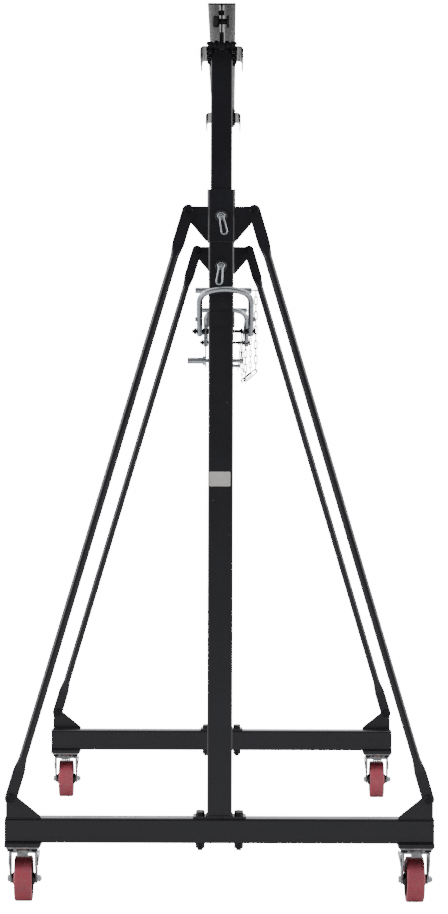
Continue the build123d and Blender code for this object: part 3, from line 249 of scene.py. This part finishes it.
    def height(self, tree: bpy.types.NodeTree, grain: bpy.types.NodeSocket,
               stretched: bpy.types.NodeSocket) -> bpy.types.NodeSocket:
        """Height of the grain, with long scratches where the finish has them.

        Args:
            tree: The material's node tree.
            grain: The fine noise.
            stretched: Coordinates stretched along the pattern.

        Returns:
            The height socket.
        """
        if not self.scratch_mm:
            return grain
        lines = add(tree, "TexVoronoi", {"Vector": stretched, "Scale": 1 / (self.scratch_mm * MM)},
                    feature="DISTANCE_TO_EDGE").outputs["Distance"]
        cut = add(tree, "MapRange", {"Value": lines, "From Max": self.scratch_width}).outputs["Result"]
        return add(tree, "Math", {0: grain, 1: cut}, operation="ADD").outputs["Value"]


@dataclass(frozen=True)
class DustyTyre(Finish):
    """Cast polyurethane with a greyer film of floor dust laid in noise patches."""

    dust: str = "9a7f85"
    tread_share: float = 0.7
    speck_mm: float = 5.0

    def colour(self, tree: bpy.types.NodeTree, mottle: bpy.types.NodeSocket,
               place: bpy.types.NodeSocket) -> bpy.types.NodeSocket:
        """The moulded colour with a film of floor dust in patches.

        Args:
            tree: The material's node tree.
            mottle: The slow noise.
            place: Object coordinates.

        Returns:
            The colour socket.
        """
        clean = super().colour(tree, mottle, place)
        specks = add(tree, "TexNoise", {"Vector": place, "Scale": 1 / (self.speck_mm * MM), "Detail": 8.0}).outputs["Fac"]
        film = add(tree, "MapRange", {"Value": specks, "From Min": 0.5, "From Max": 0.75,
                                      "To Max": self.tread_share}).outputs["Result"]
        return add(tree, "Mix", {"Factor": film, 6: clean, 7: linear(self.dust)}, data_type="RGBA").outputs[2]


# Stoving enamel sprayed on welded steel tube: deep black with a slight orange peel in its gloss.
BLACK_ENAMEL = Finish("gloss_black_enamel", "201f25", "25242a", "77777b", rough_low=0.22, rough_high=0.27,
                      mottle_mm=180.0, grain_mm=7.0, bump_mm=0.008, edge_share=0.35)
# The same enamel on rolled sections, with the mill's faint lines along the beam. Its tint is darker than the tube
# enamel's, and that extra darkness is painted shade on the beam.
SHADED_BEAM_ENAMEL = Finish("gloss_black_enamel_rolled_painted_shade", "111114", "17171a", "4a4b50", rough_low=0.16, rough_high=0.26,
                     mottle_mm=220.0, grain_mm=5.0, bump_mm=0.015, edge_share=0.4, pattern=Pattern.ALONG_Y)
# Bright electroplated zinc: pale silver with a cool, cloudy passivation.
BRIGHT_ZINC = Finish("bright_zinc_plate", "ccd0d5", "b0b5bc", "e6e9ec", metallic=1.0, rough_low=0.18, rough_high=0.3,
                     mottle_mm=22.0, grain_mm=1.6, bump_mm=0.01, edge_share=0.5, scratch_mm=14.0)
# Zinc on pressed steel plate, duller from the press and marked by handling.
DULL_ZINC = Finish("pressed_zinc_plate", "b4b5b8", "939599", "dcdddf", metallic=1.0, rough_low=0.3, rough_high=0.48,
                   mottle_mm=16.0, grain_mm=1.2, bump_mm=0.03, edge_share=0.6, scratch_mm=9.0)
# Zinc on welded chain, dulled by rubbing link on link, so each link draws a darker line.
CHAIN_ZINC = Finish("rubbed_zinc_chain", "84878c", "66696e", "c9ccd0", metallic=1.0, rough_low=0.25, rough_high=0.4,
                    mottle_mm=12.0, grain_mm=1.0, bump_mm=0.02, edge_share=0.5)
# Yellow chromate over zinc: a copper-gold ring with a greenish drift.
YELLOW_CHROMATE = Finish("yellow_chromate_zinc", "d0661c", "b5762e", "e0b070", metallic=1.0, rough_low=0.28,
                         rough_high=0.42, mottle_mm=9.0, grain_mm=1.0, bump_mm=0.02, edge_share=0.4)
# Black oxide on hardened fasteners: near-black steel with an oily sheen and bare corners.
BLACK_OXIDE = Finish("black_oxide_steel", "2a2a2d", "38383c", "8a8b8f", metallic=0.85, rough_low=0.3, rough_high=0.45,
                     mottle_mm=7.0, grain_mm=1.0, bump_mm=0.03, edge_mm=0.8, edge_share=0.55)
# Injection-moulded polyethylene plug: dull black with a spark-eroded grain.
MOULDED_PLASTIC = Finish("moulded_polyethylene", "1b1b1c", "232325", "3a3a3c", rough_low=0.5, rough_high=0.62,
                         mottle_mm=30.0, grain_mm=1.2, bump_mm=0.06, edge_share=0.3)
# Moulded rubber: matt, very dark, with a powdery bloom.
MOULDED_RUBBER = Finish("moulded_rubber", "161616", "262626", "333333", rough_low=0.6, rough_high=0.8,
                        mottle_mm=8.0, grain_mm=0.9, bump_mm=0.05, edge_share=0.5)
# Cast iron wheel centre under dark paint: coarse sand texture.
PAINTED_IRON = Finish("painted_cast_iron", "2b2527", "3a3134", "5d5457", rough_low=0.45, rough_high=0.62,
                      mottle_mm=12.0, grain_mm=1.6, bump_mm=0.12, edge_share=0.4)
# Cast polyurethane tyre: rose red, slightly translucent, satin where it has rolled.
POLYURETHANE = DustyTyre("cast_polyurethane", "c4505f", "b05563", "d898a2", rough_low=0.32, rough_high=0.5,
                         mottle_mm=35.0, grain_mm=2.2, bump_mm=0.06, edge_share=0.25, subsurface=0.12)
# Printed vinyl left blank: off-white film with a soft sheen.
VINYL = Finish("white_vinyl_film", "d9d8d4", "cfcec9", "b9b8b3", rough_low=0.35, rough_high=0.45,
               mottle_mm=14.0, grain_mm=1.5, bump_mm=0.01, edge_share=0.3)


class Wardrobe:
    """Makes each finish's material once and puts it on pieces."""

    def __init__(self) -> None:
        """Starts with no materials made."""
        self.made: dict[str, bpy.types.Material] = {}

    def wear(self, obj: bpy.types.Object, finish: Finish) -> None:
        """Gives an object one finish all over.

        Args:
            obj: A CAD node or a new piece.
            finish: What it is finished with.
        """
        if finish.name not in self.made:
            self.made[finish.name] = finish.build()
        material = self.made[finish.name]
        if not obj.material_slots:
            obj.data.materials.append(material)
        for material_slot in obj.material_slots:
            material_slot.material = material

    def dress(self, finish: Finish, *nodes: str) -> None:
        """Gives CAD nodes one finish.

        Args:
            finish: What they are finished with.
            *nodes: Node names.
        """
        for name in nodes:
            self.wear(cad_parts[name], finish)
        log.info("%s on %d nodes", finish.name, len(nodes))


# ---------------------------------------------------------------------------
# Weld beads
# ---------------------------------------------------------------------------
@dataclass
class WeldBead:
    """Rippled bead along a straight joint. Points are in metres, sizes in millimetres."""

    start: Vector
    end: Vector
    radius_mm: float = 3.2
    ripple_mm: float = 4.0
    swell: float = 1.25

    def build(self) -> bpy.types.Object:
        """Models one ripple as a ring of faces, repeats it along the joint and closes both ends."""
        run = self.end - self.start
        count = max(2, round(run.length / (self.ripple_mm * MM)))
        pitch = run.length / count
        bpy.ops.object.select_all(action="DESELECT")
        bpy.ops.mesh.primitive_circle_add(vertices=8, radius=self.radius_mm * MM / self.swell, fill_type="NOTHING")
        bead = bpy.context.object
        bpy.ops.object.mode_set(mode="EDIT")
        for share in (self.swell, 1 / self.swell):
            bpy.ops.mesh.extrude_region_move(TRANSFORM_OT_translate={"value": (0, 0, pitch / 2)})
            bpy.ops.transform.resize(value=(share, share, 1), center_override=(0, 0, 0))
        bpy.ops.object.mode_set(mode="OBJECT")
        repeat = bead.modifiers.new("ripples", "ARRAY")
        repeat.count = count
        repeat.use_relative_offset = False
        repeat.use_constant_offset = True
        repeat.constant_offset_displace = (0, 0, pitch)
        repeat.use_merge_vertices = True
        repeat.merge_threshold = 1e-5
        bpy.ops.object.modifier_apply(modifier=repeat.name)
        bpy.ops.object.mode_set(mode="EDIT")
        bpy.ops.mesh.select_all(action="SELECT")
        bpy.ops.mesh.fill_holes(sides=0)
        bpy.ops.object.mode_set(mode="OBJECT")
        bead.rotation_mode = "QUATERNION"
        bead.rotation_quaternion = run.to_track_quat("Z", "Y")
        bead.location = self.start
        return settle(bead)


@dataclass
class RingBead:
    """Rippled bead round a boss whose axis lies along Y."""

    centre: Vector
    ring_mm: float
    radius_mm: float = 2.4
    ripples: int = 24
    minor_segments: int = 8
    ripple_mm: float = 0.4

    def build(self) -> bpy.types.Object:
        """Models a ring and swells every other slice of it."""
        bpy.ops.object.select_all(action="DESELECT")
        bpy.ops.mesh.primitive_torus_add(
            major_segments=2 * self.ripples, minor_segments=self.minor_segments, major_radius=self.ring_mm * MM,
            minor_radius=self.radius_mm * MM,
        )
        ring = bpy.context.object
        for index, vertex in enumerate(ring.data.vertices):
            vertex.select = (index // self.minor_segments) % 2 == 0
        bpy.ops.object.mode_set(mode="EDIT")
        bpy.ops.mesh.select_mode(type="VERT")
        bpy.ops.transform.shrink_fatten(value=-self.ripple_mm * MM)
        bpy.ops.object.mode_set(mode="OBJECT")
        ring.rotation_euler = (pi / 2, 0, 0)
        ring.location = self.centre
        return settle(ring)


# ---------------------------------------------------------------------------
# Sub-assemblies
# ---------------------------------------------------------------------------
def corner_pair(node: str) -> tuple[Vector, Vector]:
    """Lowest and highest corner of a CAD node."""
    low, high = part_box(node)
    return Vector(low), Vector(high)


@dataclass
class Stand:
    """The two welded A-frames: their enamel, fasteners and weld beads."""

    wardrobe: Wardrobe
    post_half: float = 37.5 * MM
    collar_half: float = 42.5 * MM
    inset: float = 1.2 * MM
    gusset_width: float = 105 * MM
    pad_width: float = 109 * MM
    gusset_outer_face: float = 37.0 * MM
    gusset_inner_face: float = 30.4 * MM
    pad_face: float = 36.5 * MM
    weld_margin: float = 3.0 * MM
    foot_reach: float = 33.0 * MM
    foot_radius_mm: float = 3.6
    collar_reach: float = 32.0 * MM
    gusset_radius_mm: float = 2.8
    bush_ring_mm: float = 17.4
    label_mm: tuple[float, float] = (64.0, 44.0)
    label_round_mm: float = 3.0
    label_thick_mm: float = 0.25
    label_shift: float = -2.0 * MM
    label_height: float = 1.279
    ends: tuple[str, str] = ("front", "rear")
    welds: list[bpy.types.Object] = field(default_factory=list)

    def run(self, start: tuple[float, float, float], end: tuple[float, float, float], radius_mm: float = 3.2) -> None:
        """Adds one straight bead.

        Args:
            start: Where it begins, in metres.
            end: Where it ends.
            radius_mm: Half its width.
        """
        self.welds.append(WeldBead(Vector(start), Vector(end), radius_mm).build())

    def square(self, y: float, z: float, half: float, reach: float, radius_mm: float = 3.0) -> None:
        """Adds four beads round a square tube.

        Args:
            y: The tube's centre along the beam.
            z: The joint's height.
            half: Half the tube's side.
            reach: Half the bead's length on each side.
            radius_mm: Half the bead's width.
        """
        for side in (-1, 1):
            self.run((-reach, y + side * half, z), (reach, y + side * half, z), radius_mm)
            self.run((side * half, y - reach, z), (side * half, y + reach, z), radius_mm)

    def build_welds(self) -> None:
        """Lays the beads of both frames and joins them into one piece."""
        for end in self.ends:
            post_low, post_high = corner_pair(f"{end}_outer_post")
            middle = (post_low.y + post_high.y) / 2
            collar_low = corner_pair("collars")[0]
            self.square(middle, post_low.z + self.inset, self.post_half, self.foot_reach, self.foot_radius_mm)
            self.square(middle, collar_low.z - self.inset, self.post_half, self.collar_reach)
            self.gusset_welds(middle, 1 if end == "rear" else -1)
            self.pad_welds(middle)
        piece = joined("frame_welds", self.welds)
        self.finish_piece(piece, BLACK_ENAMEL)

    def gusset_welds(self, middle: float, outwards: int) -> None:
        """Lays the beads where the gussets meet the collar and the base tube.

        Args:
            middle: The frame's centre along the beam.
            outwards: 1 or -1, the way the gussets' outer faces look along the beam.
        """
        high = corner_pair("collar_gussets")
        base = corner_pair("base_gussets")
        base_inner = base[1].x - self.gusset_width
        faces = ((self.gusset_outer_face, 2.5 * MM, 1.0 * MM), (self.gusset_inner_face, 0.2 * MM, 0.2 * MM))
        for side in (-1, 1):
            for face, sunk, dip in faces:
                y = middle + outwards * face
                x = side * (self.collar_half - sunk)
                self.run((x, y, high[0].z + 2 * MM), (x, y, high[1].z - 2 * MM))
                z = base[0].z - dip
                near, far = base_inner + self.weld_margin, base[1].x - self.weld_margin
                self.run((side * near, y, z), (side * far, y, z), self.gusset_radius_mm)

    def pad_welds(self, middle: float) -> None:
        """Lays the beads along both sides of the base tube over its caster pads.

        Args:
            middle: The frame's centre along the beam.
        """
        pads = corner_pair("caster_pads")
        inner = pads[1].x - self.pad_width
        for side in (-1, 1):
            for face in (-1, 1):
                y = middle + face * self.pad_face
                z = pads[1].z + 0.5 * MM
                self.run((side * (inner + 4 * MM), y, z), (side * (pads[1].x - 4 * MM), y, z), 3.0)

    def build_bush_welds(self) -> None:
        """Lays a ring bead at the root of each pin bush."""
        rings = []
        for end in self.ends:
            for level, face in (("upper", self.collar_half), ("lower", self.post_half)):
                pin = corner_pair(f"{end}_{level}_lock_pin")
                post = corner_pair(f"{end}_outer_post")
                z = (pin[0].z + pin[1].z) / 2
                y = (post[0].y + post[1].y) / 2 - face - 0.6 * MM
                rings.append(RingBead(Vector((0, y, z)), self.bush_ring_mm).build())
        self.finish_piece(joined("bush_welds", rings), BLACK_ENAMEL)

    def build_label(self) -> None:
        """Cuts a blank film label with round corners and lays it on the front post."""
        post_low = corner_pair("front_outer_post")[0]
        bpy.ops.object.select_all(action="DESELECT")
        bpy.ops.mesh.primitive_plane_add(
            size=1.0, location=(self.label_shift, post_low.y - 0.05 * MM, self.label_height), rotation=(pi / 2, 0, 0),
        )
        label = bpy.context.object
        label.scale = (self.label_mm[0] * MM, self.label_mm[1] * MM, 1)
        bpy.ops.object.transform_apply(location=True, rotation=True, scale=True)
        bpy.ops.object.mode_set(mode="EDIT")
        bpy.ops.mesh.select_all(action="SELECT")
        bpy.ops.mesh.bevel(offset=self.label_round_mm * MM, segments=4, affect="VERTICES")
        bpy.ops.mesh.select_all(action="SELECT")
        bpy.ops.mesh.extrude_region_move(TRANSFORM_OT_translate={"value": (0, -self.label_thick_mm * MM, 0)})
        bpy.ops.object.mode_set(mode="OBJECT")
        label.name = "blank_label"
        self.finish_piece(settle(label), VINYL)

    def finish_piece(self, piece: bpy.types.Object, finish: Finish) -> None:
        """Finishes a new piece and fixes it to the stand.

        Args:
            piece: The piece.
            finish: Its finish.
        """
        select_only(piece)
        bpy.ops.object.shade_smooth_by_angle(angle=SMOOTH_ANGLE)
        self.wardrobe.wear(piece, finish)
        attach(piece, "stand")
        log.info("%s: %d faces", piece.name, len(piece.data.polygons))

    def build(self) -> None:
        """Dresses the stand's nodes and adds its welds and label."""
        self.wardrobe.dress(
            BLACK_ENAMEL, "base_tubes", "base_gussets", "post_feet", "front_outer_post", "rear_outer_post", "collars",
            "collar_gussets", "braces", "pin_bushes", "caster_pads", "lift_brackets",
        )
        self.wardrobe.dress(MOULDED_PLASTIC, "tube_end_caps")
        self.wardrobe.dress(BLACK_OXIDE, "foot_bolts", "brace_bolts")
        self.build_welds()
        self.build_bush_welds()
        self.build_label()


@dataclass
class Head:
    """What rises: the inner posts, saddles, beam and end stops."""

    wardrobe: Wardrobe
    inner_half: float = 32.5 * MM
    weld_reach: float = 28.0 * MM
    weld_drop: float = 0.8 * MM

    def build_welds(self) -> None:
        """Lays the beads where the inner posts meet the saddles."""
        low, high = corner_pair("inner_posts")
        beads = []
        for y in (low.y + self.inner_half, high.y - self.inner_half):
            for side in (-1, 1):
                z = high.z - self.weld_drop
                reach = self.weld_reach
                across = side * self.inner_half
                beads.append(WeldBead(Vector((-reach, y + across, z)), Vector((reach, y + across, z))).build())
                beads.append(WeldBead(Vector((across, y - reach, z)), Vector((across, y + reach, z))).build())
        piece = joined("saddle_welds", beads)
        select_only(piece)
        bpy.ops.object.shade_smooth_by_angle(angle=SMOOTH_ANGLE)
        self.wardrobe.wear(piece, BLACK_ENAMEL)
        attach(piece, "head")
        log.info("%s: %d faces", piece.name, len(piece.data.polygons))

    def build(self) -> None:
        """Dresses the head's nodes and adds its welds."""
        self.wardrobe.dress(BLACK_ENAMEL, "inner_posts", "saddles", "web_clips")
        # The beam's enamel carries a darker tint that is painted shade.
        self.wardrobe.dress(SHADED_BEAM_ENAMEL, "i_beam")
        self.wardrobe.dress(BLACK_OXIDE, "clamp_bolts", "end_stop_bolts")
        self.wardrobe.dress(MOULDED_RUBBER, "end_stop_bumpers")
        self.build_welds()


@dataclass
class Pins:
    """The four lock pins with their wire loops."""

    wardrobe: Wardrobe
    stations: tuple[str, ...] = ("front_upper", "front_lower", "rear_upper", "rear_lower")

    def build(self) -> None:
        """Dresses the pins and their loops."""
        self.wardrobe.dress(BRIGHT_ZINC, *(f"{name}_lock_pin" for name in self.stations))
        self.wardrobe.dress(BRIGHT_ZINC, *(f"{name}_pin_loop" for name in self.stations))


@dataclass
class LiftUnits:
    """Both lift units: brackets, side plates, bails, shafts and chains."""

    wardrobe: Wardrobe

    def build(self) -> None:
        """Dresses the lift units' nodes."""
        self.wardrobe.dress(BRIGHT_ZINC, "lift_side_plates", "lift_cross_tubes",
                            "front_bail", "rear_bail", "front_crank_shaft", "rear_crank_shaft")
        self.wardrobe.dress(CHAIN_ZINC, "lift_chains")
        self.wardrobe.dress(BLACK_OXIDE, "lift_bolts")


@dataclass
class Casters:
    """The four braked swivel casters."""

    wardrobe: Wardrobe
    stations: tuple[str, ...] = ("front_left", "front_right", "rear_left", "rear_right")

    def build(self) -> None:
        """Dresses each caster's nodes."""
        self.wardrobe.dress(DULL_ZINC, "caster_top_plates")
        self.wardrobe.dress(BLACK_OXIDE, "caster_bolts")
        self.wardrobe.dress(YELLOW_CHROMATE, "swivel_races")
        for piece, finish in (("fork", DULL_ZINC), ("axle", BRIGHT_ZINC), ("brake_pedal", BRIGHT_ZINC),
                              ("wheel_core", PAINTED_IRON), ("wheel_tread", POLYURETHANE)):
            self.wardrobe.dress(finish, *(f"{name}_{piece}" for name in self.stations))


# ---------------------------------------------------------------------------
# Studio
# ---------------------------------------------------------------------------
@dataclass
class Studio:
    """Camera, white floor and soft light."""

    eye: tuple[float, float, float] = (0.026, -11.2085, 1.528)
    lens_mm: float = 129.6
    roll_degrees: float = -0.17
    shift: tuple[float, float] = (-0.0059, -0.0667)
    front_strength: float = 0.1
    back_strength: float = 1.3
    backdrop_strength: float = 16.0
    floor_glow: float = 0.05
    floor_seen: float = 16.0

    floor_size: float = 60.0
    sensor_mm: float = 36.0
    softbox_side: float = 4.0
    aim: tuple[float, float, float] = (0.0, 0.0, 1.2)
    left_box: tuple[float, float, float] = (-7.0, -3.0, 3.5)
    right_box: tuple[float, float, float] = (7.0, -2.0, 3.5)
    left_power: float = 260.0
    right_power: float = 200.0

    def place_camera(self) -> None:
        """Stands the camera off the front end, level, looking along the beam."""
        data = bpy.data.cameras.new("camera")
        data.lens = self.lens_mm
        data.sensor_width = self.sensor_mm
        data.shift_x, data.shift_y = self.shift
        data.clip_end = 200.0
        data.dof.use_dof = False
        camera = bpy.data.objects.new("camera", data)
        camera.location = self.eye
        camera.rotation_euler = (pi / 2, radians(self.roll_degrees), 0)
        bpy.context.scene.collection.objects.link(camera)
        bpy.context.scene.camera = camera

    def light(self, name: str, place: tuple[float, float, float], power: float) -> None:
        """Hangs one softbox.

        Args:
            name: The light's name.
            place: Where it hangs.
            power: Its power in watts.
        """
        data = bpy.data.lights.new(name, "AREA")
        data.shape = "SQUARE"
        data.size = self.softbox_side
        data.energy = power
        lamp = bpy.data.objects.new(name, data)
        lamp.location = place
        lamp.rotation_mode = "QUATERNION"
        lamp.rotation_quaternion = (Vector(self.aim) - Vector(place)).to_track_quat("-Z", "Y")
        bpy.context.scene.collection.objects.link(lamp)

    def build(self) -> None:
        """Sets the world, the floor and the lights."""
        world = bpy.data.worlds.new("studio")
        bpy.context.scene.world = world
        world.use_nodes = True
        tree = world.node_tree
        tree.nodes.clear()
        heading = add(tree, "SeparateXYZ", {0: add(tree, "TexCoord").outputs["Generated"]})
        around = add(tree, "MapRange", {
            "Value": heading.outputs["Y"], "From Min": -0.8, "From Max": -0.1, "To Min": self.front_strength,
            "To Max": self.back_strength,
        }).outputs["Result"]
        seen = add(tree, "LightPath").outputs["Is Camera Ray"]
        strength = add(tree, "Mix", {"Factor": seen, 2: around, 3: self.backdrop_strength}).outputs[0]
        sky = add(tree, "Background", {"Color": (1, 1, 1, 1), "Strength": strength})
        add(tree, "OutputWorld", {"Surface": sky.outputs["Background"]})
        bpy.ops.object.select_all(action="DESELECT")
        bpy.ops.mesh.primitive_plane_add(size=self.floor_size)
        floor = bpy.context.object
        floor.name = "studio_floor"
        material = bpy.data.materials.new("painted_studio_floor")
        material.use_nodes = True
        shader = material.node_tree.nodes["Principled BSDF"]
        shader.inputs["Base Color"].default_value = linear("c4c4c4")
        shader.inputs["Roughness"].default_value = 0.7
        shader.inputs["Emission Color"].default_value = (1, 1, 1, 1)
        seen = add(material.node_tree, "LightPath").outputs["Is Camera Ray"]
        glow = add(material.node_tree, "Mix", {"Factor": seen, 2: self.floor_glow, 3: self.floor_seen})
        material.node_tree.links.new(glow.outputs[0], shader.inputs["Emission Strength"])
        floor.data.materials.append(material)
        self.light("left_softbox", self.left_box, self.left_power)
        self.light("right_softbox", self.right_box, self.right_power)


def main() -> None:
    """Builds the scene in order: camera, sub-assemblies, studio."""
    logging.basicConfig(level=logging.INFO)
    studio = Studio()
    studio.place_camera()
    wardrobe = Wardrobe()
    for assembly in (Stand(wardrobe), Head(wardrobe), Pins(wardrobe), LiftUnits(wardrobe), Casters(wardrobe)):
        assembly.build()
    studio.build()


if __name__ == "__main__":
    main()
